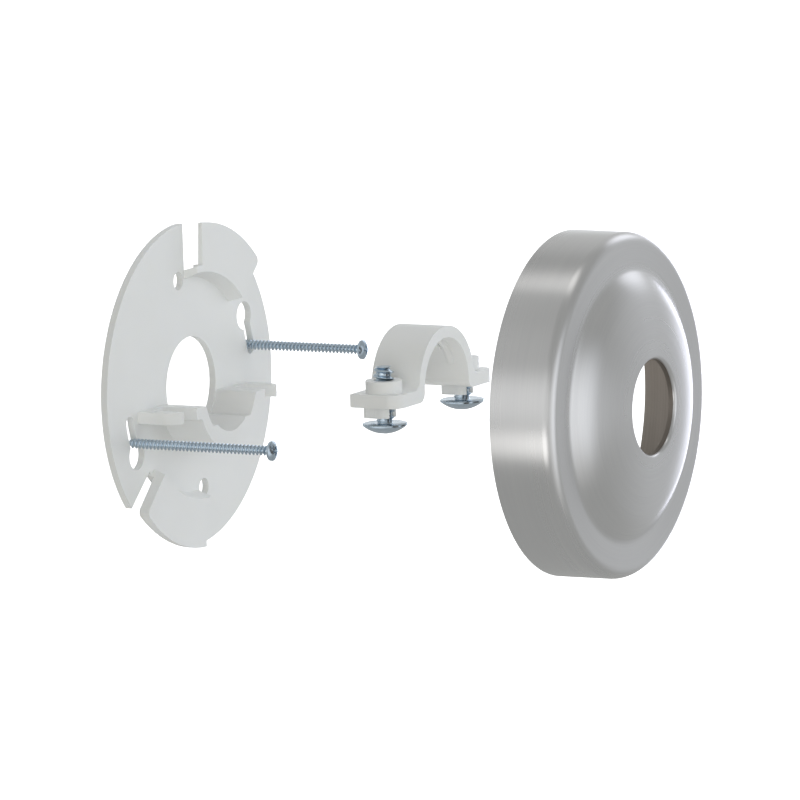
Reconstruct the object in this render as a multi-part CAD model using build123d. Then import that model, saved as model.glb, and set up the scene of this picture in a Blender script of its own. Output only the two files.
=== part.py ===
from build123d import *
import os
from math import asin, atan2, cos, degrees, radians, sin

# Shower arm flange shown pulled apart: a moulded wall plate with the lower half of an arm
# clamp, the loose upper clamp half with its two screws, two wall screws and a spun cover.
# Millimetres. X runs out of the wall along the shower arm, Y is horizontal, Z is up.
# The origin is on the arm's axis, in the back face of the plate.

# Shower arm and what it passes through
arm_diameter = 21.3
plate_hole_clearance = 1.25
cover_hole_clearance = 0.65
grip_clearance = 0.25

# Wall plate
plate_diameter = 80.0
plate_thickness = 1.8

# Raised spring sectors, two, half a turn apart
sector_start = 2.0
sector_sweep = 45.0
sector_root_radius = 26.4
sector_face = 5.5
sector_thin_edge = 1.0
sector_thick_edge = 2.8
sector_wall = 1.7
sector_draft = 1.5
sector_corner = 1.6
sector_slot = 2.9
sector_gap = 1.1

# Keyholes for the wall screws, two, half a turn apart
keyhole_rim = 9.8
keyhole_wide_angle = 26.6
keyhole_narrow_angle = 10.0
keyhole_wide_diameter = 7.0
keyhole_slot_width = 3.4

# Small round holes, two, half a turn apart
pilot_diameter = 4.5
pilot_y = -4.4
pilot_z = 26.2

# Lower clamp half, moulded with the plate
saddle_front = 13.0
saddle_wall = 3.0
saddle_relief = 1.5
saddle_step_z = -8.4
ear_top = -3.0
ear_thickness = 2.9
ear_span = 52.0
ear_corner = 4.5
ear_root_fillet = 1.6
saddle_lip = 1.1
ear_slot_clearance = 0.2

# Upper clamp half
clamp_length = 13.0
clamp_wall = 2.8
clamp_joint_gap = 0.3
clamp_plate_gap = 0.4
clamp_ear_thickness = 3.2
clamp_ear_span = 49.6
clamp_ear_corner = 3.5
clamp_ear_fillet = 2.6
clamp_inner_corner = 2.4
clamp_relief = 0.3
rib_height = 0.5
rib_width = 1.3
rib_sweep = 100.0
boss_diameter = 8.8
boss_height = 3.0
collar_width = 5.6
collar_depth = 2.8
collar_behind_screw = 4.6
collar_before_screw = -0.9
collar_corner = 1.1

# Clamp screws, truss head below
clamp_screw_spacing = 39.4
clamp_screw_thread = 5.0
clamp_screw_root = 3.6
clamp_screw_head = 10.8
clamp_screw_head_height = 2.5
clamp_screw_head_edge = 0.45
clamp_screw_head_gap = 4.2
clamp_screw_above_boss = 3.2
clamp_screw_hole_clearance = 0.15
clamp_screw_recess = 4.6

# Wall screws, pan head
wall_screw_length = 42.8
wall_screw_thread = 2.5
wall_screw_root = 1.5
wall_screw_head = 4.8
wall_screw_head_height = 1.5
wall_screw_head_edge = 0.6
wall_screw_tip = 3.0
wall_screw_point = 0.5
wall_screw_recess = 2.4
wall_screw_seat_gap = 0.3

# Cross recess of both kinds of screw, as shares of its width and of the head's height
recess_arm_share = 0.26
recess_depth_share = 0.55
recess_taper = 12.0

# Cover, spun from sheet
cover_diameter = 82.5
cover_sheet = 0.7
cover_side_draft = 0.15
cover_shoulder_depth = 16.3
cover_shoulder_radius = 2.8
cover_ring_radius = 32.4
cover_ring_dish = 0.25
cover_foot_fillet = 3.2
cover_dome_radius = 27.9
cover_dome_foot = 19.3
cover_dome_fillet = 4.5
cover_dome_mid_radius = 19.5
cover_dome_mid = 21.6
cover_dome_bend = 60.0
cover_front = 22.6
cover_lip_radius = 0.9
cover_lip_depth = 2.0

# Where the loose pieces stand, pulled off along the arm
cover_pull = 105.9
clamp_pull = 57.8
clamp_lift = 3.2
upper_screw_pull = 31.3
upper_screw_turn = 1.1
lower_screw_pull = 37.8
lower_screw_turn = 10.0

# Worked out from the sizes above
plate_radius = plate_diameter / 2
keyhole_radius = plate_radius - keyhole_rim
plate_hole_radius = arm_diameter / 2 + plate_hole_clearance
grip_radius = arm_diameter / 2 + grip_clearance
saddle_relief_radius = grip_radius + saddle_relief
saddle_outer_radius = saddle_relief_radius + saddle_wall
clamp_back = plate_thickness + clamp_plate_gap
clamp_screw_x = clamp_back + clamp_length / 2
clamp_screw_y = clamp_screw_spacing / 2
clamp_ear_under = ear_top + clamp_joint_gap
clamp_ear_top = clamp_ear_under + clamp_ear_thickness
clamp_inner_radius = grip_radius + clamp_relief
clamp_outer_radius = clamp_inner_radius + clamp_wall
clamp_screw_shank = (clamp_screw_thread + clamp_screw_root) / 2
clamp_screw_hole = clamp_screw_shank + 2 * clamp_screw_hole_clearance
wall_screw_shank = (wall_screw_thread + wall_screw_root) / 2
overcut = 1.0


def polar(radius, angle):
    """Point in the plate, angle in degrees anticlockwise from +Y as seen from the room."""
    return (radius * cos(radians(angle)), radius * sin(radians(angle)))


def half_turn(solid):
    """The copy half a turn round the arm's axis."""
    return solid.rotate(Axis.X, 180)


def along_arm(face, start, length):
    """Extrude a face drawn in the plate's plane, from start, away from the wall."""
    return extrude(Plane.YZ.offset(start) * face, length)


def wedge(start_angle, end_angle, reach):
    """Triangle that covers the directions from start_angle to end_angle."""
    far = reach / cos(radians((end_angle - start_angle) / 2))
    return make_face(Polyline((0, 0), polar(far, start_angle), polar(far, end_angle), close=True))


def keyhole():
    wide = Pos(*polar(keyhole_radius, keyhole_wide_angle)) * Circle(keyhole_wide_diameter / 2)
    narrow_end = Pos(*polar(keyhole_radius, keyhole_narrow_angle)) * Circle(keyhole_slot_width / 2)
    mid_angle = (keyhole_wide_angle + keyhole_narrow_angle) / 2
    path = ThreePointArc(polar(keyhole_radius, keyhole_narrow_angle),
                         polar(keyhole_radius, mid_angle),
                         polar(keyhole_radius, keyhole_wide_angle))
    return wide + narrow_end + SlotArc(path, keyhole_slot_width)


def sector_edges():
    """Directions of the sector's two sides, from +Y: its end by the gap, its start by the slot."""
    start = 90 - sector_start
    return start - sector_sweep, start


def sector_cutout():
    """What is missing from the disc under one raised sector, with the slot and gap beside it."""
    end_side, start_side = sector_edges()
    inner = sector_root_radius + sector_wall
    reach = plate_radius + overcut
    gap_angle = degrees(sector_gap / sector_root_radius)
    area = wedge(end_side - gap_angle, start_side, reach) & Circle(reach)
    slot = Pos(0, reach / 2) * Rectangle(sector_slot, reach)
    return area + slot - Circle(inner)


def raised_sector():
    """One spring sector: a sloped root wall, which also closes the slot, and a thinning shelf."""
    end_side, start_side = sector_edges()
    root = sector_root_radius
    wall_profile = make_face(Polyline(
        (0, root), (plate_thickness, root), (sector_face, root + sector_draft),
        (sector_face, root + sector_draft + sector_wall), (0, root + sector_wall), close=True))
    ring = revolve(Plane.XY * wall_profile, Axis.X)
    shelf_back = sector_face - sector_thick_edge
    shelf = along_arm(Circle(plate_radius) - Circle(root + sector_draft), shelf_back,
                      sector_thick_edge)
    area = wedge(end_side, start_side, plate_radius + overcut) & right_of(sector_slot / 2)
    area &= Circle(plate_radius)
    corner = area.vertices().sort_by_distance((*polar(plate_radius, end_side), 0))[0]
    shelf &= along_arm(fillet(corner, sector_corner), 0, sector_face)
    wall_end = start_side + degrees(sector_slot / root)
    area = wedge(end_side, wall_end, plate_radius) & right_of(-sector_slot / 2)
    wall = ring & along_arm(area, 0, sector_face)
    return wall + (shelf - sector_ramp(end_side))


def right_of(y):
    """Half of the plate's plane, towards +Y from the line at y."""
    return Pos(y + plate_radius, 0) * Rectangle(2 * plate_radius, 4 * plate_radius)


def sector_ramp(end_side):
    """Cutter that slopes the underside, so that the sector is thin at its slot side."""
    run = plate_radius * sin(radians(sector_sweep))
    rise = sector_thick_edge - sector_thin_edge
    slope = degrees(atan2(rise, run))
    length = 3 * plate_radius
    floor = Plane.YZ.offset(sector_face - sector_thick_edge)
    cutter = floor * Rot(0, 0, end_side) * Rot(slope, 0, 0) * Pos(0, length / 2, -length / 2)
    block = cutter * Box(length, length, length)
    inner = sector_root_radius + sector_draft + sector_wall
    outside = along_arm(Circle(length) - Circle(inner), -length, 2 * length)
    return block & outside


def ear_plan(span, back, front, corner):
    """Plan of a pair of ears, with rounded corners at the front."""
    half = span / 2
    outline = make_face(Polyline((back, -half), (front, -half), (front, half), (back, half),
                                 close=True))
    return fillet(outline.vertices().sort_by(Axis.X)[-2:], corner)


def saddle():
    """Lower clamp half: a stepped channel between two ears."""
    wide = 4 * saddle_outer_radius
    below_top = Pos(0, ear_top - wide / 2) * Rectangle(wide, wide)
    above_step = Pos(0, saddle_step_z + wide / 2) * Rectangle(wide, wide)
    channel = Circle(grip_radius) + (Circle(saddle_relief_radius) & above_step)
    ears = Pos(0, ear_top - ear_thickness / 2) * Rectangle(ear_span, ear_thickness)
    profile = (Circle(saddle_outer_radius) & below_top) + ears - channel
    lips = profile.vertices().filter_by(
        lambda v: abs(v.Y - ear_top) < 0.01 and abs(v.X) < saddle_outer_radius)
    profile = fillet(lips, saddle_lip)
    roots = profile.vertices().filter_by(
        lambda v: abs(v.Y - (ear_top - ear_thickness)) < 0.01 and abs(v.X) < saddle_outer_radius + 1)
    profile = fillet(roots, ear_root_fillet)
    body = along_arm(profile, 0, saddle_front)
    plan = extrude(ear_plan(ear_span, 0, saddle_front, ear_corner), 2 * wide, both=True)
    return (body & plan) - ear_slots()


def ear_slots():
    """Slots open to the room, which the screws and collars of the upper half slide into."""
    width = collar_width + 2 * ear_slot_clearance
    back = clamp_screw_x - collar_behind_screw - ear_slot_clearance
    length = saddle_front - back + overcut
    slot = Pos(back + length / 2, 0, ear_top - ear_thickness / 2) * Box(
        length, width, ear_thickness + 2 * overcut)
    slot = fillet(slot.edges().filter_by(Axis.Z).sort_by(Axis.X)[:2], collar_corner)
    return [Pos(0, side * clamp_screw_y, 0) * slot for side in (-1, 1)]


def make_wall_plate():
    disc = Circle(plate_radius) - Circle(plate_hole_radius) - keyhole()
    disc -= Rot(0, 0, 180) * keyhole()
    disc -= sector_cutout()
    disc -= Rot(0, 0, 180) * sector_cutout()
    pilot = Circle(pilot_diameter / 2)
    disc -= Pos(pilot_y, pilot_z) * pilot
    disc -= Pos(-pilot_y, -pilot_z) * pilot
    plate = along_arm(disc, 0, plate_thickness)
    arm_way = along_arm(Circle(plate_hole_radius), -overcut, plate_thickness + overcut)
    plate += saddle() - arm_way
    sector = raised_sector()
    plate += sector
    plate += half_turn(sector)
    return plate


def clamp_profile():
    """Front view of the upper half: an arch that flows out into two ears."""
    wide = 4 * clamp_outer_radius
    above_joint = Pos(0, clamp_ear_under + wide / 2) * Rectangle(wide, wide)
    below_axis = Pos(0, -wide / 2) * Rectangle(wide, wide)
    ears = Pos(0, clamp_ear_under + clamp_ear_thickness / 2) * Rectangle(
        clamp_ear_span, clamp_ear_thickness)
    way = Circle(clamp_inner_radius) + (below_axis & Rectangle(2 * clamp_inner_radius, wide))
    profile = (Circle(clamp_outer_radius) & above_joint) + ears - way
    crooks = profile.vertices().filter_by(
        lambda v: abs(v.Y - clamp_ear_top) < 0.01 and abs(v.X) < clamp_outer_radius + 1)
    profile = fillet(crooks, clamp_ear_fillet)
    lips = profile.vertices().filter_by(
        lambda v: abs(v.Y - clamp_ear_under) < 0.01 and abs(v.X) < clamp_outer_radius)
    return fillet(lips, clamp_inner_corner)


def make_clamp():
    body = along_arm(clamp_profile(), clamp_back, clamp_length)
    reach = 4 * clamp_outer_radius
    plan = ear_plan(clamp_ear_span, clamp_back, clamp_back + clamp_length, clamp_ear_corner)
    body &= extrude(plan, reach, both=True)
    ring = Circle(clamp_inner_radius + clamp_wall / 2) - Circle(clamp_inner_radius - rib_height)
    rib = ring & wedge(90 - rib_sweep / 2, 90 + rib_sweep / 2, reach)
    body += along_arm(rib, clamp_screw_x - rib_width / 2, rib_width)
    for side in (-1, 1):
        seat = Pos(clamp_screw_x, side * clamp_screw_y, clamp_ear_under)
        body += seat * extrude(Circle(boss_diameter / 2), clamp_ear_thickness + boss_height)
        body += seat * collar()
        hole = extrude(Circle(clamp_screw_hole / 2), reach, both=True)
        body -= seat * hole
    return body


def collar():
    """Block behind each screw, as deep as the plate's ear that it drops into."""
    length = collar_behind_screw + collar_before_screw
    block = Box(length, collar_width, collar_depth, align=(Align.MIN, Align.CENTER, Align.MAX))
    back_edges = block.edges().filter_by(Axis.Z).sort_by(Axis.X)[:2]
    return Pos(-collar_behind_screw, 0, 0) * fillet(back_edges, collar_corner)


def cross_recess(width, depth):
    """Cross-shaped driver recess, tapered, opening at Z = 0 and running down."""
    arm = width * recess_arm_share
    bar = extrude(Rectangle(width, arm), -depth, taper=recess_taper)
    return bar + Rot(0, 0, 90) * bar


def domed_head(diameter, height, edge):
    """Head with its seat at Z = 0 and its crown above, as a spherical cap on a short edge."""
    radius = diameter / 2
    cap = height - edge
    profile = make_face(
        Polyline((0, 0), (radius, 0), (radius, edge))
        + ThreePointArc((radius, edge), cap_point(radius, cap, edge), (0, height))
        + Line((0, height), (0, 0)))
    return revolve(Plane.XZ * profile, Axis.Z)


def cap_point(radius, cap, edge):
    """Point half way along the arc of a cap of that height over that radius."""
    ball = (radius ** 2 + cap ** 2) / (2 * cap)
    angle = asin(radius / ball) / 2
    return (ball * sin(angle), edge + cap - ball * (1 - cos(angle)))


def make_clamp_screw():
    """Truss-head screw with its seat at Z = 0, head above and shank below."""
    head = domed_head(clamp_screw_head, clamp_screw_head_height, clamp_screw_head_edge)
    depth = clamp_screw_head_height * recess_depth_share
    head -= Pos(0, 0, clamp_screw_head_height) * cross_recess(clamp_screw_recess, depth)
    length = (clamp_screw_head_gap + clamp_ear_thickness + boss_height + clamp_screw_above_boss)
    neck = extrude(Circle(clamp_screw_root / 2), -length)
    threaded = clamp_ear_thickness + boss_height + clamp_screw_above_boss
    body = Pos(0, 0, -clamp_screw_head_gap) * extrude(Circle(clamp_screw_shank / 2), -threaded)
    tip = body.faces().sort_by(Axis.Z)[0].edges()
    return head + neck + chamfer(tip, (clamp_screw_shank - clamp_screw_root) / 2)


def make_wall_screw():
    """Pan-head screw with its seat at Z = 0, head above and pointed shank below."""
    head = domed_head(wall_screw_head, wall_screw_head_height, wall_screw_head_edge)
    depth = wall_screw_head_height * recess_depth_share
    head -= Pos(0, 0, wall_screw_head_height) * cross_recess(wall_screw_recess, depth)
    radius = wall_screw_shank / 2
    length = wall_screw_length - wall_screw_head_height
    profile = make_face(Polyline((0, 0), (radius, 0), (radius, wall_screw_tip - length),
                                 (wall_screw_point / 2, -length), (0, -length), close=True))
    return head + revolve(Plane.XZ * profile, Axis.Z)


def make_cover():
    """Spun cup, drawn as the line of its outer face and given the sheet's thickness inwards."""
    radius = cover_diameter / 2
    hole = arm_diameter / 2 + cover_hole_clearance
    corners = [
        (0, radius),
        (cover_shoulder_depth, radius - cover_side_draft),
        (cover_shoulder_depth - cover_ring_dish, cover_ring_radius),
        (cover_dome_foot, cover_dome_radius),
        (cover_dome_mid, cover_dome_mid_radius),
        (cover_front, hole),
        (cover_front - cover_lip_depth, hole),
    ]
    bends = [cover_shoulder_radius, cover_foot_fillet, cover_dome_fillet, cover_dome_bend,
             cover_lip_radius]
    outer = FilletPolyline(*corners, radius=bends)
    sheet = make_face(offset(outer, cover_sheet, side=Side.RIGHT))
    return revolve(Plane.XY * sheet, Axis.X)


def wall_screw_place(side, turn, pull):
    """Seat of a wall screw in its keyhole: side is 1 for the upper one, -1 for the lower one."""
    y, z = polar(side * keyhole_radius, keyhole_narrow_angle + turn)
    x = plate_thickness + wall_screw_seat_gap + pull
    return Pos(x, y, z) * Rot(0, 90, 0)


clamp_offset = Pos(clamp_pull, 0, clamp_lift)
clamp_head_z = clamp_ear_under - clamp_screw_head_gap
pieces = {
    "wall_plate": make_wall_plate(),
    "pipe_clamp": clamp_offset * make_clamp(),
    "cover": Pos(cover_pull, 0, 0) * make_cover(),
}
for name, side in (("clamp_screw_left", -1), ("clamp_screw_right", 1)):
    seat = Pos(clamp_screw_x, side * clamp_screw_y, clamp_head_z) * Rot(180, 0, 0)
    pieces[name] = clamp_offset * seat * make_clamp_screw()
for name, side, turn, pull in (("wall_screw_upper", 1, upper_screw_turn, upper_screw_pull),
                               ("wall_screw_lower", -1, lower_screw_turn, lower_screw_pull)):
    pieces[name] = wall_screw_place(side, turn, pull) * make_wall_screw()

os.makedirs("parts", exist_ok=True)
for name, solid in pieces.items():
    export_step(solid, f"parts/{name}.step")
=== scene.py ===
import math
import bmesh
import bpy
from mathutils import Matrix, Vector


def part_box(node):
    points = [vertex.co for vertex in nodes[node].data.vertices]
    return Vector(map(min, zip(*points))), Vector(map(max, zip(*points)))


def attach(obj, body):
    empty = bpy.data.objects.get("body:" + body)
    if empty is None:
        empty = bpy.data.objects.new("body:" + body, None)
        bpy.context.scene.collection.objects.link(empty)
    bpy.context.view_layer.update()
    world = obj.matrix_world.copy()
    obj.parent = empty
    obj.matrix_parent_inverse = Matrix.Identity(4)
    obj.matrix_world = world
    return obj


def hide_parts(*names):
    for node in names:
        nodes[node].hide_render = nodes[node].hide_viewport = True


# Shower arm flange pulled apart along its arm: satin white plastic, bright zinc screws and a
# brushed nickel cover. Metres, X along the arm out of the wall, Z up, as the frame has them.

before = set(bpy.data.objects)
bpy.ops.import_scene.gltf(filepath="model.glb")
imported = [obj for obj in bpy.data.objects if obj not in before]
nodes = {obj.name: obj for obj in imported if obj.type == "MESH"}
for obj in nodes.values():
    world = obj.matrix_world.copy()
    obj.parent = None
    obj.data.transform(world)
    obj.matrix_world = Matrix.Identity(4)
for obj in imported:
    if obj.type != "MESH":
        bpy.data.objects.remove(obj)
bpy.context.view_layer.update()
mm = 0.001                                    # metres in a millimetre
weldWithin = 0.002                            # mm, points of a moulding nearer than this are one
seamWithin = 0.001                            # mm, the same for a turned piece's seam and poles
sliverWithin = 0.0001                         # mm, a face thinner than this is dropped
print("frame loaded:", len(nodes), "parts")


# sRGB hex to the linear colour that shaders work in
def linearColour(hexText):
    parts = [int(hexText[i:i + 2], 16) / 255 for i in (0, 2, 4)]
    return [c / 12.92 if c <= 0.04045 else ((c + 0.055) / 1.055) ** 2.4 for c in parts] + [1.0]


# one node with its settings; an input is a value or another node's output socket
def addNode(tree, kind, inputs=None, **settings):
    node = tree.nodes.new(kind)
    for name, value in settings.items():
        setattr(node, name, value)
    for key, value in (inputs or {}).items():
        socket = node.inputs[key]
        if isinstance(value, bpy.types.NodeSocket):
            tree.links.new(value, socket)
        else:
            socket.default_value = value
    return node


# a number worked out from one to three others, in a shader or in Geometry Nodes
def maths(tree, operation, first, second=0.0, third=0.0):
    return addNode(tree, "ShaderNodeMath", {0: first, 1: second, 2: third},
                   operation=operation).outputs[0]


# a finished piece: it rides on its body and may stand for solids of the frame
def meshPiece(name, mesh, material, body, slot, *standsFor):
    piece = bpy.data.objects.new(name, mesh)
    bpy.context.scene.collection.objects.link(piece)
    mesh.materials.clear()
    mesh.materials.append(material)
    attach(piece, body)
    if standsFor:
        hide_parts(*standsFor)
    return piece


def carrierObject(name, mesh):
    carrier = bpy.data.objects.new(name, mesh)
    bpy.context.scene.collection.objects.link(carrier)
    return carrier


# the carrier's evaluated mesh by itself; the carrier goes, and its modifiers with it
def bakedMesh(carrier):
    bpy.context.view_layer.update()
    graph = bpy.context.evaluated_depsgraph_get()
    mesh = bpy.data.meshes.new_from_object(carrier.evaluated_get(graph), depsgraph=graph)
    bpy.data.objects.remove(carrier)
    return mesh


def newMaterial(name):
    material = bpy.data.materials.new(name)
    material.use_nodes = True
    tree = material.node_tree
    return material, tree, tree.nodes["Principled BSDF"]


# base colour that wanders between two near shades with a pattern from 0 to 1
def shadedColour(tree, shader, pattern, look):
    mix = addNode(tree, "ShaderNodeMix", {0: pattern, 6: linearColour(look["colour"]),
                  7: linearColour(look["shade"])}, data_type="RGBA")
    tree.links.new(mix.outputs[2], shader.inputs["Base Color"])


# roughness that wanders about its middle with the same kind of pattern
def unevenGloss(tree, shader, pattern, look):
    spread = addNode(tree, "ShaderNodeMapRange", {"Value": pattern,
                     "To Min": look["roughness"] - look["glossSpread"],
                     "To Max": look["roughness"] + look["glossSpread"]})
    tree.links.new(spread.outputs["Result"], shader.inputs["Roughness"])


# the pattern as bumps, too small to be worth a mesh
def fineRelief(tree, shader, pattern, look):
    bump = addNode(tree, "ShaderNodeBump", {"Height": pattern, "Strength": look["relief"],
                   "Distance": look["reliefHeight"] * mm})
    tree.links.new(bump.outputs["Normal"], shader.inputs["Normal"])


plasticLook = {
    "colour": "F1F2F2", "shade": "ECEDEB",    # natural ABS white, nearly neutral
    "roughness": 0.42, "glossSpread": 0.05, "ior": 1.54,
    "grain": 0.35,                            # mm across the pips of the spark-eroded mould skin
    "relief": 0.10, "reliefHeight": 0.05,     # how much the pips show, and their height in mm
    "flow": 14.0,                             # mm across the soft patches left as it filled
    "glow": 0.10,                             # light that goes in and comes out near by
    "glowReach": (1.2, 1.1, 0.9),             # mm that red, green and blue go
}


# injection-moulded ABS, satin from a fine eroded mould: soft broad highlights, no mirror
def mouldedAbs(look):
    material, tree, shader = newMaterial("moulded_abs")
    place = addNode(tree, "ShaderNodeTexCoord").outputs["Object"]
    flow = addNode(tree, "ShaderNodeTexNoise", {"Vector": place, "Detail": 3.0,
                   "Scale": 1 / (look["flow"] * mm)}).outputs["Fac"]
    grain = addNode(tree, "ShaderNodeTexNoise", {"Vector": place, "Detail": 2.0,
                    "Scale": 1 / (look["grain"] * mm)}).outputs["Fac"]
    shadedColour(tree, shader, flow, look)
    unevenGloss(tree, shader, flow, look)
    fineRelief(tree, shader, grain, look)
    shader.inputs["IOR"].default_value = look["ior"]
    shader.inputs["Subsurface Weight"].default_value = look["glow"]
    shader.inputs["Subsurface Radius"].default_value = [way * mm for way in look["glowReach"]]
    shader.inputs["Subsurface Scale"].default_value = 1.0
    return material


nickelLook = {
    "colour": "D6D6D6", "shade": "CCCCCE",    # satin nickel, nearly neutral
    "roughness": 0.28, "glossSpread": 0.02,
    "stretch": 0.78, "stretchTurn": 0.25,     # highlights drawn out across the brush lines
    "line": 0.40,                             # mm between brush lines, coarser than real to show
}
liningLook = {
    "colour": "958E87", "shade": "817A74",    # plated, never brushed, dull; its dark brown is painted shade in the cup
    "roughness": 0.44, "glossSpread": 0.06,
    "stretch": 0.35, "stretchTurn": 0.25,     # only a little drawn out
    "line": 0.6,                              # mm between the tool's rings from spinning
}
ringPattern = {
    "turnShare": 0.5,                         # mm of pattern for each radian, so lines run long
    "broad": 8,                               # lines across a patch of more or less gloss
}


# steel spun on a lathe, then brushed and nickel plated: fine rings round the arm's axis
def spunMetal(name, look):
    material, tree, shader = newMaterial(name)
    place = addNode(tree, "ShaderNodeTexCoord").outputs["Object"]
    axes = addNode(tree, "ShaderNodeSeparateXYZ", {"Vector": place}).outputs
    spoke = addNode(tree, "ShaderNodeCombineXYZ", {"Y": axes["Y"], "Z": axes["Z"]})
    radius = addNode(tree, "ShaderNodeVectorMath", {0: spoke.outputs[0]},
                     operation="LENGTH").outputs["Value"]
    turn = maths(tree, "ARCTAN2", axes["Z"], axes["Y"])
    # the noise changes fast along the section and slowly along the turn
    ring = addNode(tree, "ShaderNodeCombineXYZ", {"X": axes["X"], "Y": radius,
                   "Z": maths(tree, "MULTIPLY", turn, ringPattern["turnShare"] * mm)}).outputs[0]
    lines = addNode(tree, "ShaderNodeTexNoise", {"Vector": ring, "Detail": 2.0,
                    "Roughness": 0.65, "Scale": 1 / (look["line"] * mm)}).outputs["Fac"]
    broad = addNode(tree, "ShaderNodeTexNoise", {"Vector": ring, "Detail": 2.0,
                    "Scale": 1 / (ringPattern["broad"] * look["line"] * mm)}).outputs["Fac"]
    shadedColour(tree, shader, lines, look)
    unevenGloss(tree, shader, broad, look)
    along = addNode(tree, "ShaderNodeTangent", direction_type="RADIAL", axis="X")
    tree.links.new(along.outputs["Tangent"], shader.inputs["Tangent"])
    shader.inputs["Metallic"].default_value = 1.0
    shader.inputs["Anisotropic"].default_value = look["stretch"]
    shader.inputs["Anisotropic Rotation"].default_value = look["stretchTurn"]
    return material


zincLook = {
    "colour": "D0DDE8", "shade": "A9BAC9",    # clear blue passivated zinc
    "roughness": 0.22, "glossSpread": 0.07,
    "patch": 1.1,                             # mm across the uneven patches of barrel plating
    "relief": 0.15, "reliefHeight": 0.03,     # how much they show, and their height in mm
}


# rolled steel, barrel plated in bright zinc: bluish, shiny, a little uneven
def brightZinc(look):
    material, tree, shader = newMaterial("bright_zinc")
    place = addNode(tree, "ShaderNodeTexCoord").outputs["Object"]
    patches = addNode(tree, "ShaderNodeTexNoise", {"Vector": place, "Detail": 4.0,
                      "Roughness": 0.6, "Scale": 1 / (look["patch"] * mm)}).outputs["Fac"]
    shadedColour(tree, shader, patches, look)
    unevenGloss(tree, shader, patches, look)
    fineRelief(tree, shader, patches, look)
    shader.inputs["Metallic"].default_value = 1.0
    return material


whitePlastic = mouldedAbs(plasticLook)
satinNickel = spunMetal("spun_satin_nickel", nickelLook)
dullShadedLining = spunMetal("spun_unbrushed_nickel_painted_shade", liningLook)
zincSteel = brightZinc(zincLook)
print("materials made")


mouldEdges = {
    "radius": 0.28, "steps": 3,               # mm, and faces across each softened edge
    "sharpFrom": 32.0, "flatWithin": 0.4,     # degrees between faces
}


# sharp edges get the mould's small radius, and flat faces stay flat beside it
def softEdged(name, mesh):
    s = mouldEdges
    for face in mesh.polygons:
        face.use_smooth = True
    carrier = carrierObject(name + "Carrier", mesh)
    bevel = carrier.modifiers.new("softEdge", "BEVEL")
    bevel.width = s["radius"] * mm
    bevel.segments = s["steps"]
    bevel.limit_method = "ANGLE"
    bevel.angle_limit = math.radians(s["sharpFrom"])
    bevel.miter_outer = "MITER_ARC"
    flat = carrier.modifiers.new("flatFaces", "WEIGHTED_NORMAL")
    flat.mode = "FACE_AREA"
    flat.keep_sharp = False
    return bakedMesh(carrier)


# a moulding keeps its solid's shape, with the solid's triangles joined into flat faces first
def softMoulding(node, name, body):
    mesh = nodes[node].data.copy()
    work = bmesh.new()
    work.from_mesh(mesh)
    bmesh.ops.remove_doubles(work, verts=work.verts, dist=weldWithin * mm)
    bmesh.ops.dissolve_limit(work, angle_limit=math.radians(mouldEdges["flatWithin"]),
                             verts=work.verts, edges=work.edges)
    work.to_mesh(mesh)
    work.free()
    if mesh.has_custom_normals:
        mesh.normals_split_custom_set([(0, 0, 0)] * len(mesh.loops))
    return meshPiece(name, softEdged(name, mesh), whitePlastic, body, "white_plastic", node)


wallPlate = softMoulding("wall_plate", "wallPlate", "plate")
clampHalf = softMoulding("pipe_clamp", "clampHalf", "clamp")
print("mouldings:", len(wallPlate.data.polygons), len(clampHalf.data.polygons), "faces")


sleeveSizes = {
    "outside": 2.77, "bore": 1.9,             # mm, radii, the first just inside the collar's sides
    "depth": 2.8, "sunk": 0.2,                # mm down from the ear, and up into it
    "opening": 38.0, "steps": 36,             # degrees left open each side of the way to the room
}


# rows of points joined into one closed skin, each row a closed loop
def skinMesh(name, bodies):
    work = bmesh.new()
    for rows in bodies:
        loops = [[work.verts.new(point) for point in row] for row in rows]
        for here, there in zip(loops, loops[1:]):
            for i in range(len(here)):
                j = (i + 1) % len(here)
                work.faces.new((here[i], there[i], there[j], here[j]))
        work.faces.new(loops[0])
        work.faces.new(loops[-1])
    bmesh.ops.recalc_face_normals(work, faces=work.faces)
    mesh = bpy.data.meshes.new(name)
    work.to_mesh(mesh)
    work.free()
    return mesh


# under each ear a sleeve wraps the screw, open to the room so that it slides into the plate
def makeSleeves():
    s = sleeveSizes
    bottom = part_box("pipe_clamp")[0].z
    top = bottom + (s["depth"] + s["sunk"]) * mm
    bodies = []
    for node in ("clamp_screw_left", "clamp_screw_right"):
        low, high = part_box(node)
        middle = (low + high) / 2
        rows = []
        for step in range(s["steps"] + 1):
            turn = math.radians(s["opening"] + (360 - 2 * s["opening"]) * step / s["steps"])
            forward, sideways = math.cos(turn), math.sin(turn)
            # behind the screw the arms run straight into the collar
            outward = math.copysign(1.0, sideways) if forward < 0 else sideways
            corners = ((s["outside"], outward, bottom), (s["outside"], outward, top),
                       (s["bore"], sideways, top), (s["bore"], sideways, bottom))
            rows.append([(middle.x + forward * radius * mm, middle.y + across * radius * mm, height)
                         for radius, across, height in corners])
        bodies.append(rows)
    mesh = softEdged("collarSleeves", skinMesh("collarSleeves", bodies))
    return meshPiece("collarSleeves", mesh, whitePlastic, "clamp", "white_plastic")


ribSizes = {
    "archBore": 11.2, "archOutside": 14.0,    # mm, radii of the solid's arch
    "forward": 1.9, "width": 2.3,             # mm nearer the room than the screws, and across
    "height": 0.75, "end": 15.0,              # mm proud of the arch, and degrees above level
    "steps": 60, "sides": 12, "tip": 0.02,    # the tip as a share of the bar's thickness
}


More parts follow.
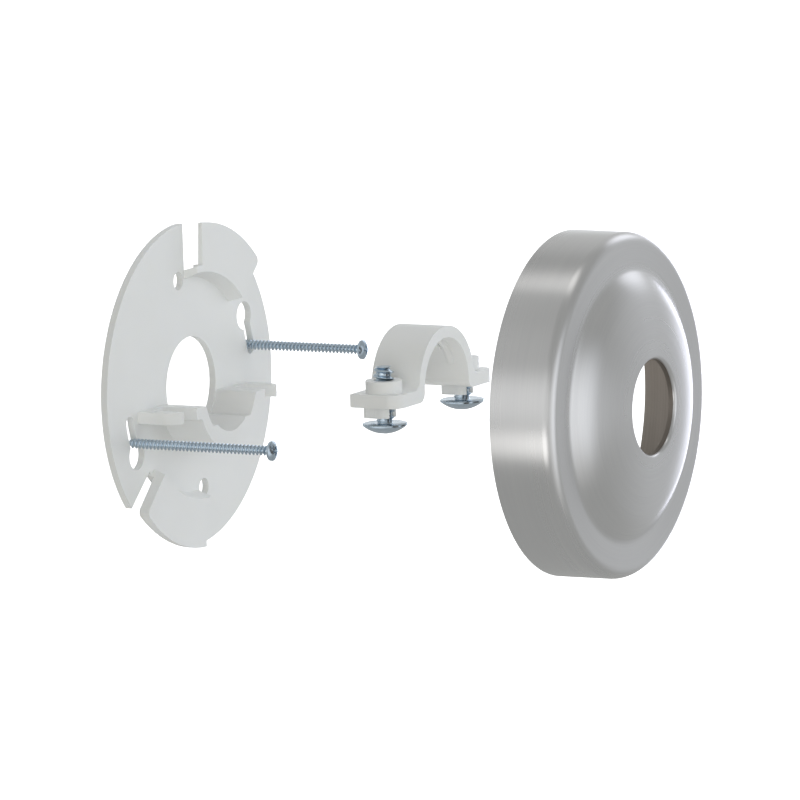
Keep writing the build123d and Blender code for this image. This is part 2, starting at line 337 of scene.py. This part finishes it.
# round-ended bar along the inside of the arch, which grips the arm
def makeRib():
    s = ribSizes
    low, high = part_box("clamp_screw_left")
    x = (low.x + high.x) / 2 + s["forward"] * mm
    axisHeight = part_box("pipe_clamp")[1].z - s["archOutside"] * mm
    half = s["width"] / 2
    line = s["archBore"] + half - s["height"]
    reach = line * math.radians(90 - s["end"])
    around = [2 * math.pi * i / s["sides"] for i in range(s["sides"])]
    rows = []
    for step in range(s["steps"] + 1):
        # close steps at both ends, where the bar rounds off
        place = -math.cos(math.pi * step / s["steps"]) * reach
        past = max(abs(place) - (reach - half), 0.0) / half
        thick = half * max(math.sqrt(max(1 - past ** 2, 0.0)), s["tip"])
        turn = place / line
        rows.append([(x + math.cos(a) * thick * mm,
                      math.sin(turn) * (line + math.sin(a) * thick) * mm,
                      axisHeight + math.cos(turn) * (line + math.sin(a) * thick) * mm)
                     for a in around])
    mesh = skinMesh("archRib", [rows])
    for face in mesh.polygons:
        face.use_smooth = True
    return meshPiece("archRib", mesh, whitePlastic, "clamp", "white_plastic")


collarSleeves = makeSleeves()
archRib = makeRib()
print("clamp details:", len(collarSleeves.data.polygons), len(archRib.data.polygons), "faces")


# an empty Geometry Nodes tree with its geometry in and out and its named sizes
def nodeTree(name, **sizes):
    tree = bpy.data.node_groups.new(name, "GeometryNodeTree")
    tree.interface.new_socket("Geometry", in_out="INPUT", socket_type="NodeSocketGeometry")
    for label, kind in sizes.items():
        tree.interface.new_socket(label, in_out="INPUT", socket_type="NodeSocket" + kind)
    tree.interface.new_socket("Geometry", in_out="OUTPUT", socket_type="NodeSocketGeometry")
    return tree, addNode(tree, "NodeGroupInput").outputs


# a grid that gets rolled up, with each point's row and its share of a turn
def gridPlaces(tree, rows, perRow):
    grid = addNode(tree, "GeometryNodeMeshGrid", {"Size X": 1.0, "Size Y": 1.0,
                   "Vertices X": rows, "Vertices Y": perRow}).outputs[0]
    index = addNode(tree, "GeometryNodeInputIndex").outputs[0]
    # half a point is added, so that rounding can't put a row's first point in the row before
    row = maths(tree, "FLOOR", maths(tree, "DIVIDE", maths(tree, "ADD", index, 0.5), perRow))
    column = maths(tree, "SUBTRACT", index, maths(tree, "MULTIPLY", row, perRow))
    share = maths(tree, "DIVIDE", column, maths(tree, "SUBTRACT", perRow, 1.0))
    return grid, row, share


# sets the grid's points round the X axis, closes the seam, smooths and finishes
def rollUp(tree, grid, down, radius, share, finish):
    angle = maths(tree, "MULTIPLY", share, 2 * math.pi)
    place = addNode(tree, "ShaderNodeCombineXYZ", {"X": down,
                    "Y": maths(tree, "MULTIPLY", radius, maths(tree, "COSINE", angle)),
                    "Z": maths(tree, "MULTIPLY", radius, maths(tree, "SINE", angle))})
    moved = addNode(tree, "GeometryNodeSetPosition", {"Geometry": grid,
                    "Position": place.outputs[0]})
    closed = addNode(tree, "GeometryNodeMergeByDistance", {"Geometry": moved.outputs[0],
                     "Distance": seamWithin * mm})
    smooth = addNode(tree, "GeometryNodeSetShadeSmooth", {"Geometry": closed.outputs[0],
                     "Shade Smooth": True})
    real = addNode(tree, "GeometryNodeRealizeInstances", {0: smooth.outputs[0]})
    painted = addNode(tree, "GeometryNodeSetMaterial", {"Geometry": real.outputs[0],
                      "Material": finish})
    addNode(tree, "NodeGroupOutput", {0: painted.outputs[0]})


# sweeps the carrier's row of points, x along the axis and z the radius, all the way round X
def sectionTree():
    tree, given = nodeTree("turnedSection", Points="Int", Turns="Int", Finish="Material")
    grid, row, share = gridPlaces(tree, given["Points"], given["Turns"])
    here = addNode(tree, "GeometryNodeInputPosition").outputs[0]
    sample = addNode(tree, "GeometryNodeSampleIndex", data_type="FLOAT_VECTOR")
    tree.links.new(given["Geometry"], sample.inputs["Geometry"])
    tree.links.new(here, [s for s in sample.inputs if s.name == "Value" and s.enabled][0])
    tree.links.new(row, sample.inputs["Index"])
    taken = addNode(tree, "ShaderNodeSeparateXYZ",
                    {"Vector": [s for s in sample.outputs if s.enabled][0]}).outputs
    rollUp(tree, grid, taken["X"], taken["Z"], share, given["Finish"])
    return tree


# one pitch of the rolled thread: where its six rows lie along it, and how high each stands
threadRows = {
    "spots": (0.0, 0.22, 0.42, 0.52, 0.62, 0.82),
    "heights": (0.0, 0.10, 0.80, 1.0, 0.80, 0.10),
    "runIn": 0.8,                             # pitches until the thread stands full under a head
    "rounding": 0.1,                          # how far a row's number may be off and still match
}


# a thread as one skin down -X: its rows follow the helix, its radius goes root, crest, root
def threadTree():
    tree, given = nodeTree("rolledThread", Length="Float", Pitch="Float", Crest="Float",
                           Root="Float", Tip="Float", End="Float", Steps="Int",
                           Finish="Material")
    length, pitch, root = given["Length"], given["Pitch"], given["Root"]
    perPitch = float(len(threadRows["spots"]))
    turns = maths(tree, "CEIL", maths(tree, "DIVIDE", length, pitch))
    rows = maths(tree, "MULTIPLY_ADD", maths(tree, "ADD", turns, 2.0), perPitch, 1.0)
    grid, row, share = gridPlaces(tree, rows, given["Steps"])
    phase = maths(tree, "FLOORED_MODULO", row, perPitch)
    whole = maths(tree, "DIVIDE", maths(tree, "SUBTRACT", row, phase), perPitch)
    # each row of the grid picks its own spot and height by its number within the pitch
    spot, height = 0.0, 0.0
    for number, (place, rise) in enumerate(zip(threadRows["spots"], threadRows["heights"])):
        hit = maths(tree, "COMPARE", phase, float(number), threadRows["rounding"])
        spot = maths(tree, "MULTIPLY_ADD", hit, place, spot)
        height = maths(tree, "MULTIPLY_ADD", hit, rise, height)
    helix = maths(tree, "ADD", maths(tree, "ADD", maths(tree, "SUBTRACT", whole, 1.0), spot),
                  share)
    down = maths(tree, "MAXIMUM", maths(tree, "MULTIPLY", helix, pitch), 0.0)
    down = maths(tree, "MINIMUM", down, length)
    left = maths(tree, "SUBTRACT", length, down)
    taper = maths(tree, "MINIMUM", maths(tree, "DIVIDE", left, given["Tip"]), 1.0)
    taper = maths(tree, "MULTIPLY_ADD", taper, maths(tree, "SUBTRACT", 1.0, given["End"]),
                  given["End"])
    runIn = maths(tree, "MINIMUM", maths(tree, "DIVIDE", down, maths(
        tree, "MULTIPLY", pitch, threadRows["runIn"])), 1.0)
    rise = maths(tree, "MULTIPLY", maths(tree, "MULTIPLY", height, runIn),
                 maths(tree, "SUBTRACT", given["Crest"], root))
    radius = maths(tree, "MULTIPLY", maths(tree, "ADD", root, rise), taper)
    # the last rows fall on one another and draw in to close the end
    lastRow = maths(tree, "MULTIPLY", maths(tree, "ADD", turns, 2.0), perPitch)
    radius = maths(tree, "MULTIPLY", radius, maths(tree, "LESS_THAN", row, lastRow))
    rollUp(tree, grid, maths(tree, "MULTIPLY", down, -1.0), radius, share, given["Finish"])
    return tree


turnedSection = sectionTree()
rolledThread = threadTree()
sharpAngle = 40.0                             # degrees; a turned edge past this stays crisp


# the tree's inputs are set before the carrier is first evaluated
def runTree(carrier, tree, sizes):
    modifier = carrier.modifiers.new(tree.name, "NODES")
    modifier.node_group = tree
    for item in tree.interface.items_tree:
        if item.in_out == "INPUT" and item.name in sizes:
            modifier[item.identifier] = sizes[item.name]
    return bakedMesh(carrier)


# drops slivers and turns every face outwards; a screw's parts have their ends closed too
def outwardFaces(mesh, closeHoles=False):
    work = bmesh.new()
    work.from_mesh(mesh)
    bmesh.ops.dissolve_degenerate(work, edges=work.edges, dist=sliverWithin * mm)
    if closeHoles:
        bmesh.ops.holes_fill(work, edges=work.edges, sides=0)
    bmesh.ops.recalc_face_normals(work, faces=work.faces)
    work.to_mesh(mesh)
    work.free()
    return mesh


# points of a line with its inner corners rounded, as (x, radius) in mm
def roundedLine(corners, radii, steps):
    points = [Vector(corners[0])]
    for before, corner, after, radius in zip(corners, corners[1:], corners[2:], radii):
        before, corner, after = Vector(before), Vector(corner), Vector(after)
        back, on = (before - corner).normalized(), (after - corner).normalized()
        half = back.angle(on) / 2
        reach = radius / math.tan(half)
        centre = corner + (back + on).normalized() * (radius / math.sin(half))
        start, end = corner + back * reach, corner + on * reach
        sweep = (start - centre).angle_signed(end - centre)
        for step in range(steps + 1):
            turned = Matrix.Rotation(-sweep * step / steps, 2)
            points.append(centre + turned @ (start - centre))
    points.append(Vector(corners[-1]))
    return points


# the same line moved to its right, as the other face of a sheet
def besideLine(points, distance):
    moved = []
    for i, point in enumerate(points):
        ahead = (points[min(i + 1, len(points) - 1)] - points[max(i - 1, 0)]).normalized()
        moved.append(point + Vector((ahead.y, -ahead.x)) * distance)
    return moved


# turns a section of (x, radius) pairs in mm round the X axis
def turnedMesh(name, section, turns, material):
    mesh = bpy.data.meshes.new(name)
    mesh.from_pydata([(p[0] * mm, 0, p[1] * mm) for p in section],
                     [(i, i + 1) for i in range(len(section) - 1)], [])
    return runTree(carrierObject(name + "Carrier", mesh), turnedSection,
                   {"Points": len(section), "Turns": turns + 1, "Finish": material})


# mm; depths are from the open edge, the side that goes against the wall
coverSizes = {
    "diameter": 82.5, "sheet": 0.7, "sideDraft": 0.15,
    "shoulderDepth": 16.3, "shoulderRadius": 2.8,
    "ringRadius": 32.4, "ringDish": 0.25, "footFillet": 3.2,
    "domeRadius": 27.9, "domeFoot": 19.4, "domeFillet": 19.0,
    "domeMidRadius": 19.5, "domeMid": 21.7, "domeBend": 50.0,
    "front": 22.6, "hole": 11.3, "lipRadius": 0.9, "lipDepth": 2.0,
    "liningTurn": 0.3,                        # how far in a face looks before it is lining
    "liningFrom": 0.1, "lipBand": 1.5,        # mm left bright at the open edge and round the hole
    "turns": 220, "bendSteps": 10,
}


# the cup's outer line and its inner one, turned as one closed wall; the inside stays unbrushed and
# darker, as painted shade
def makeCover():
    s = coverSizes
    half = s["diameter"] / 2
    corners = [(0, half), (s["shoulderDepth"], half - s["sideDraft"]),
               (s["shoulderDepth"] - s["ringDish"], s["ringRadius"]),
               (s["domeFoot"], s["domeRadius"]), (s["domeMid"], s["domeMidRadius"]),
               (s["front"], s["hole"]), (s["front"] - s["lipDepth"], s["hole"])]
    radii = [s["shoulderRadius"], s["footFillet"], s["domeFillet"], s["domeBend"],
             s["lipRadius"]]
    outer = roundedLine(corners, radii, s["bendSteps"])
    inner = besideLine(outer, s["sheet"])
    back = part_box("cover")[0].x / mm
    section = [(p.x + back, p.y) for p in outer + inner[::-1]]
    mesh = outwardFaces(turnedMesh("spunCover", section + section[:1], s["turns"], satinNickel))
    mesh.set_sharp_from_angle(angle=math.radians(sharpAngle))
    piece = meshPiece("spunCover", mesh, satinNickel, "cover_body", "satin_nickel", "cover")
    # faces looking into the cup take the lining: unbrushed, and darker as painted shade inside the
    # cup
    mesh.materials.append(dullShadedLining)
    for face in mesh.polygons:
        spoke = Vector((0, face.center.y, face.center.z))
        looksIn = min(face.normal.dot(spoke.normalized()), face.normal.x) < -s["liningTurn"]
        behindLip = face.center.x < (back + s["front"] - s["lipRadius"]) * mm \
            or spoke.length > (s["hole"] + s["lipBand"]) * mm
        if looksIn and behindLip and face.center.x > (back + s["liningFrom"]) * mm:
            face.material_index = 1
    # the photo's pieces were lit one by one, so the cover throws no shade on the clamp behind it
    piece.visible_diffuse = piece.visible_shadow = False
    return piece


cover = makeCover()
print("cover:", len(cover.data.polygons), "faces")


# mm, diameters where they go across; lengths come from the frame. End is what is left of the
# thickness at the far end, and steps is points round the thread.
wallScrewSizes = {
    "thread": 2.5, "root": 1.5, "pitch": 1.02, "tip": 3.0, "end": 0.06,
    "head": 4.8, "headHeight": 1.5, "headEdge": 0.6, "recess": 2.4, "recessDepth": 0.95,
    "neck": 1.5, "steps": 25,
}
clampScrewSizes = {
    "thread": 5.0, "root": 3.5, "pitch": 1.55, "tip": 0.9, "end": 0.74,
    "head": 10.8, "headHeight": 2.5, "headEdge": 0.45, "recess": 4.6, "recessDepth": 1.4,
    "neck": 3.6, "steps": 41,
}
seatGap = 0.3                                 # mm of plain neck between a head and its thread
headForm = {
    "soft": 0.12,                             # mm, the small rounding at the rim and the neck
    "neckOver": 0.1, "neckEnd": 0.98,         # mm into the thread, and its share of the neck
    "crownSteps": 18, "turns": 64,
}
crossForm = {
    "arm": 0.13,                              # half an arm's width as a share of the recess
    "mouth": 1.1, "point": 0.55,              # how wide the driver's point is above and below
    "over": 0.4,                              # mm that it stands out of the crown
}


# head with its seat at x = 0 and its crown at +x, drawn down to the neck
def headSection(s):
    radius, edge, height, neck = s["head"] / 2, s["headEdge"], s["headHeight"], s["neck"] / 2
    cap = height - edge
    ball = (radius ** 2 + cap ** 2) / (2 * cap)
    whole = math.asin(min(radius / ball, 1.0))
    steps, soft = headForm["crownSteps"], headForm["soft"]
    crown = [(height - ball * (1 - math.cos(whole * i / steps)),
              ball * math.sin(whole * i / steps)) for i in range(steps + 1)]
    # three points take the rim round to the seat, and three take the seat into the neck
    rim = [(edge - soft * 0.3, radius - 0.01), (soft * 0.6, radius - soft * 0.2),
           (0.0, radius - soft)]
    return crown + rim + [(0.0, neck + soft), (-soft, neck),
                          (-seatGap - headForm["neckOver"], neck * headForm["neckEnd"])]


# cross-shaped driver point along -x from the crown, narrower inwards
def crossCutter(s):
    c = crossForm
    work = bmesh.new()
    wide, thin = s["recess"] / 2, s["recess"] * c["arm"]
    top, depth = s["headHeight"] + c["over"], s["recessDepth"] + c["over"]
    # corners 0 to 3 of a bar are above its mouth, and 4 to 7 at its point
    boxFaces = ((0, 1, 2, 3), (7, 6, 5, 4), (0, 4, 5, 1), (1, 5, 6, 2), (2, 6, 7, 3), (3, 7, 4, 0))
    for across, along in ((wide, thin), (thin, wide)):
        corners = []
        for x, scale in ((top, c["mouth"]), (top - depth, c["point"])):
            corners += [work.verts.new((x * mm, y * across * scale * mm, z * along * scale * mm))
                        for y, z in ((-1, -1), (1, -1), (1, 1), (-1, 1))]
        for quad in boxFaces:
            work.faces.new([corners[i] for i in quad])
    bmesh.ops.recalc_face_normals(work, faces=work.faces)
    mesh = bpy.data.meshes.new("crossPoint")
    work.to_mesh(mesh)
    work.free()
    return mesh


# the turned head with its cross recess cut
def headMesh(name, s):
    turned = turnedMesh(name, headSection(s), headForm["turns"], zincSteel)
    carrier = carrierObject(name + "Carrier", outwardFaces(turned, closeHoles=True))
    cutter = carrierObject(name + "Cutter", crossCutter(s))
    cut = carrier.modifiers.new("recess", "BOOLEAN")
    cut.operation = "DIFFERENCE"
    cut.object = cutter
    cut.solver = "EXACT"
    cut.use_self = True
    result = bakedMesh(carrier)
    bpy.data.objects.remove(cutter)
    return result


# a whole screw down -X from its seat, set in place by a matrix
def screwMesh(name, s, length, place):
    carrier = carrierObject(name + "Carrier", bpy.data.meshes.new(name + "Thread"))
    thread = outwardFaces(runTree(carrier, rolledThread, {
        "Length": length * mm, "Pitch": s["pitch"] * mm, "Crest": s["thread"] / 2 * mm,
        "Root": s["root"] / 2 * mm, "Tip": s["tip"] * mm, "End": s["end"],
        "Steps": s["steps"], "Finish": zincSteel}), closeHoles=True)
    thread.transform(Matrix.Translation((-seatGap * mm, 0, 0)))
    work = bmesh.new()
    for part in (headMesh(name + "Head", s), thread):
        work.from_mesh(part)
    work.transform(place)
    mesh = bpy.data.meshes.new(name)
    work.to_mesh(mesh)
    work.free()
    for face in mesh.polygons:
        face.use_smooth = True
    mesh.set_sharp_from_angle(angle=math.radians(sharpAngle))
    return mesh


# a wall screw points at the wall, with its crown towards the room
def makeWallScrew(name, node, body):
    s = wallScrewSizes
    low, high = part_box(node)
    seat = Vector((high.x - s["headHeight"] * mm, (low.y + high.y) / 2, (low.z + high.z) / 2))
    length = (seat.x - low.x) / mm - seatGap
    mesh = screwMesh(name, s, length, Matrix.Translation(seat))
    return meshPiece(name, mesh, zincSteel, body, "zinc_steel", node)


# a clamp screw stands up through its ear, with its crown below
def makeClampScrew(name, node):
    s = clampScrewSizes
    low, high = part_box(node)
    seat = Vector(((low.x + high.x) / 2, (low.y + high.y) / 2, low.z + s["headHeight"] * mm))
    crownDown = Matrix.Rotation(math.radians(90), 4, "Y")
    length = (high.z - seat.z) / mm - seatGap
    mesh = screwMesh(name, s, length, Matrix.Translation(seat) @ crownDown)
    return meshPiece(name, mesh, zincSteel, "clamp", "zinc_steel", node)


upperScrew = makeWallScrew("upperWallScrew", "wall_screw_upper", "upper_screw")
lowerScrew = makeWallScrew("lowerWallScrew", "wall_screw_lower", "lower_screw")
leftScrew = makeClampScrew("leftClampScrew", "clamp_screw_left")
rightScrew = makeClampScrew("rightClampScrew", "clamp_screw_right")
print("screws:", [len(p.data.polygons) for p in (upperScrew, lowerScrew, leftScrew, rightScrew)])


floorLook = {
    "drop": 0.115, "size": 14.0,              # metres below the arm's axis, and across
    "colour": "FAFAFA", "roughness": 0.9, "shine": 0.1,
    "glow": 0.95,                             # lifts it to the photo's clean white
}


# white paper far enough below the pieces that they throw no clear shadow on it
def makeFloor():
    mesh = bpy.data.meshes.new("floor")
    reach, drop = floorLook["size"] / 2, -floorLook["drop"]
    mesh.from_pydata([(-reach, -reach, drop), (reach, -reach, drop), (reach, reach, drop),
                      (-reach, reach, drop)], [], [(0, 1, 2, 3)])
    floor = bpy.data.objects.new("floor", mesh)
    bpy.context.scene.collection.objects.link(floor)
    material, _, shader = newMaterial("white_paper")
    shader.inputs["Base Color"].default_value = linearColour(floorLook["colour"])
    shader.inputs["Roughness"].default_value = floorLook["roughness"]
    shader.inputs["Specular IOR Level"].default_value = floorLook["shine"]
    shader.inputs["Emission Color"].default_value = (1, 1, 1, 1)
    shader.inputs["Emission Strength"].default_value = floorLook["glow"]
    mesh.materials.append(material)
    # the sky's lower half already stands for the light that comes up off the paper
    floor.visible_diffuse = floor.visible_glossy = floor.visible_shadow = False


# soft studio light: an even tent with softboxes in it, each full within core degrees of its
# middle and gone at edge degrees; along below 1 draws one out along the arm like a strip light.
# Matt is its strength on plastic and paper, shiny its strength where metal mirrors it.
tent = {"colour": "FBFCF9", "matt": 0.237, "shiny": 0.451}
usualBox = {"core": 4, "edge": 40, "along": 1.0, "colour": "FFFFFF", "matt": 0.0, "shiny": 0.0}
softboxes = {
    "room": {"towards": (0.90, 0.33, 0.29), "colour": "F4F9FF", "matt": 1.30},
    "roomFront": {"towards": (1.0, 0.05, 0.0), "core": 5, "edge": 30, "colour": "EEF4FF",
                  "shiny": 0.417},
    "roomLow": {"towards": (0.97, -0.21, -0.125), "colour": "FCFCFC", "shiny": 0.454},
    "farSide": {"towards": (0.30, 0.95, 0.04), "colour": "F2F6FF", "matt": 1.45, "shiny": 0.21},
    "farPanel": {"towards": (-0.20, 0.97, -0.09), "edge": 18, "colour": "EEF0FF", "shiny": 3.2},
    "farHigh": {"towards": (-0.23, 0.86, 0.46), "matt": 0.622, "shiny": 0.189},
    "farAbove": {"towards": (0.18, 0.87, 0.46), "core": 3, "edge": 17, "colour": "F4F6FF",
                 "shiny": 0.9},
    "farWall": {"towards": (-0.55, 0.83, 0.08), "edge": 15, "colour": "F4FAFF", "shiny": 0.5},
    "nearSide": {"towards": (0.42, -0.90, 0.125), "colour": "FCFCF8", "matt": 1.42},
    "nearLow": {"towards": (0.60, -0.59, -0.54), "colour": "FCFCF8", "matt": 0.524},
    "nearWall": {"towards": (-0.43, -0.82, 0.375), "shiny": 0.138},
    "wallTop": {"towards": (-0.36, 0.33, 0.875), "colour": "F8FBFF", "matt": 1.20},
    "wallHigh": {"towards": (-0.77, -0.14, 0.625), "shiny": 0.19},
    "wallFoot": {"towards": (-0.40, 0.28, -0.875), "matt": 1.407},
    "topStrip": {"towards": (0.0, 0.05, 1.0), "core": 3, "edge": 13, "along": 0.35,
                 "colour": "FFFDFA", "shiny": 0.80},
    "levelStrip": {"towards": (0.0, -0.99, 0.14), "edge": 26, "along": 0.35, "shiny": 0.434},
    "lowStrip": {"towards": (0.0, -0.945, -0.326), "core": 3, "edge": 14, "along": 0.35,
                 "colour": "FFFDFA", "shiny": 1.35},
}


# the world sums tent and softboxes twice, and the kind of ray picks the sum
def makeSky():
    world = bpy.data.worlds.new("studio")
    bpy.context.scene.world = world
    world.use_nodes = True
    tree = world.node_tree
    direction = addNode(tree, "ShaderNodeTexCoord").outputs["Generated"]
    light = {kind: [c * tent[kind] for c in linearColour(tent["colour"])[:3]]
             for kind in ("matt", "shiny")}
    for ownValues in softboxes.values():
        box = {**usualBox, **ownValues}
        stretch = Vector((box["along"], 1, 1))
        middle = (Vector(box["towards"]) * stretch).normalized()
        drawn = addNode(tree, "ShaderNodeVectorMath", {0: direction, 1: stretch},
                        operation="MULTIPLY").outputs[0]
        unit = addNode(tree, "ShaderNodeVectorMath", {0: drawn},
                       operation="NORMALIZE").outputs[0]
        nearness = addNode(tree, "ShaderNodeVectorMath", {0: unit, 1: middle},
                           operation="DOT_PRODUCT").outputs["Value"]
        eased = addNode(tree, "ShaderNodeMapRange", {"Value": nearness,
                        "From Min": math.cos(math.radians(box["edge"])),
                        "From Max": math.cos(math.radians(box["core"]))},
                        interpolation_type="SMOOTHSTEP").outputs["Result"]
        for kind in light:
            if box[kind] > 0:
                tint = [c * box[kind] for c in linearColour(box["colour"])[:3]]
                light[kind] = addNode(tree, "ShaderNodeVectorMath", {
                    0: eased, 1: tint, 2: light[kind]}, operation="MULTIPLY_ADD").outputs[0]
    rays = addNode(tree, "ShaderNodeLightPath").outputs
    lit = addNode(tree, "ShaderNodeMix", {0: rays["Is Glossy Ray"], 6: light["matt"],
                  7: light["shiny"]}, data_type="RGBA").outputs[2]
    # past the edge of the floor the view stays white
    seen = addNode(tree, "ShaderNodeMix", {0: rays["Is Camera Ray"], 6: lit,
                   7: (1.0, 1.0, 1.0, 1.0)}, data_type="RGBA").outputs[2]
    tree.links.new(seen, tree.nodes["Background"].inputs["Color"])


cameraLook = {
    "azimuth": 28.6, "elevation": 8.5,        # degrees from the near side, and above level
    "roll": -1.8, "distance": 1.5,            # degrees, and metres from the target
    "target": (0.060, 0.0, -0.0013),
    "pixelsPerMm": 4.147, "frameWidth": 800,  # the photo's scale and width in pixels
    "clipEnd": 50,                            # metres that the camera sees
}


# a long lens far off, on the photo's scale at the target
def makeCamera():
    s = cameraLook
    a, e, roll = (math.radians(s[k]) for k in ("azimuth", "elevation", "roll"))
    back = Vector((math.sin(a) * math.cos(e), -math.cos(a) * math.cos(e), math.sin(e)))
    right = Vector((math.cos(a), math.sin(a), 0))
    up = back.cross(right)
    acrossView = right * math.cos(roll) + up * math.sin(roll)
    upView = -right * math.sin(roll) + up * math.cos(roll)
    camera = bpy.data.cameras.new("camera")
    camera.lens = s["pixelsPerMm"] * s["distance"] / mm / s["frameWidth"] * camera.sensor_width
    camera.clip_end = s["clipEnd"]
    holder = bpy.data.objects.new("camera", camera)
    turned = Matrix((acrossView, upView, back)).transposed()
    holder.matrix_world = Matrix.Translation(Vector(s["target"]) + back * s["distance"]) \
        @ turned.to_4x4()
    bpy.context.scene.collection.objects.link(holder)
    bpy.context.scene.camera = holder


makeFloor()
makeSky()
makeCamera()
bpy.context.scene.view_settings.view_transform = "Standard"
print("stage, light and camera made")
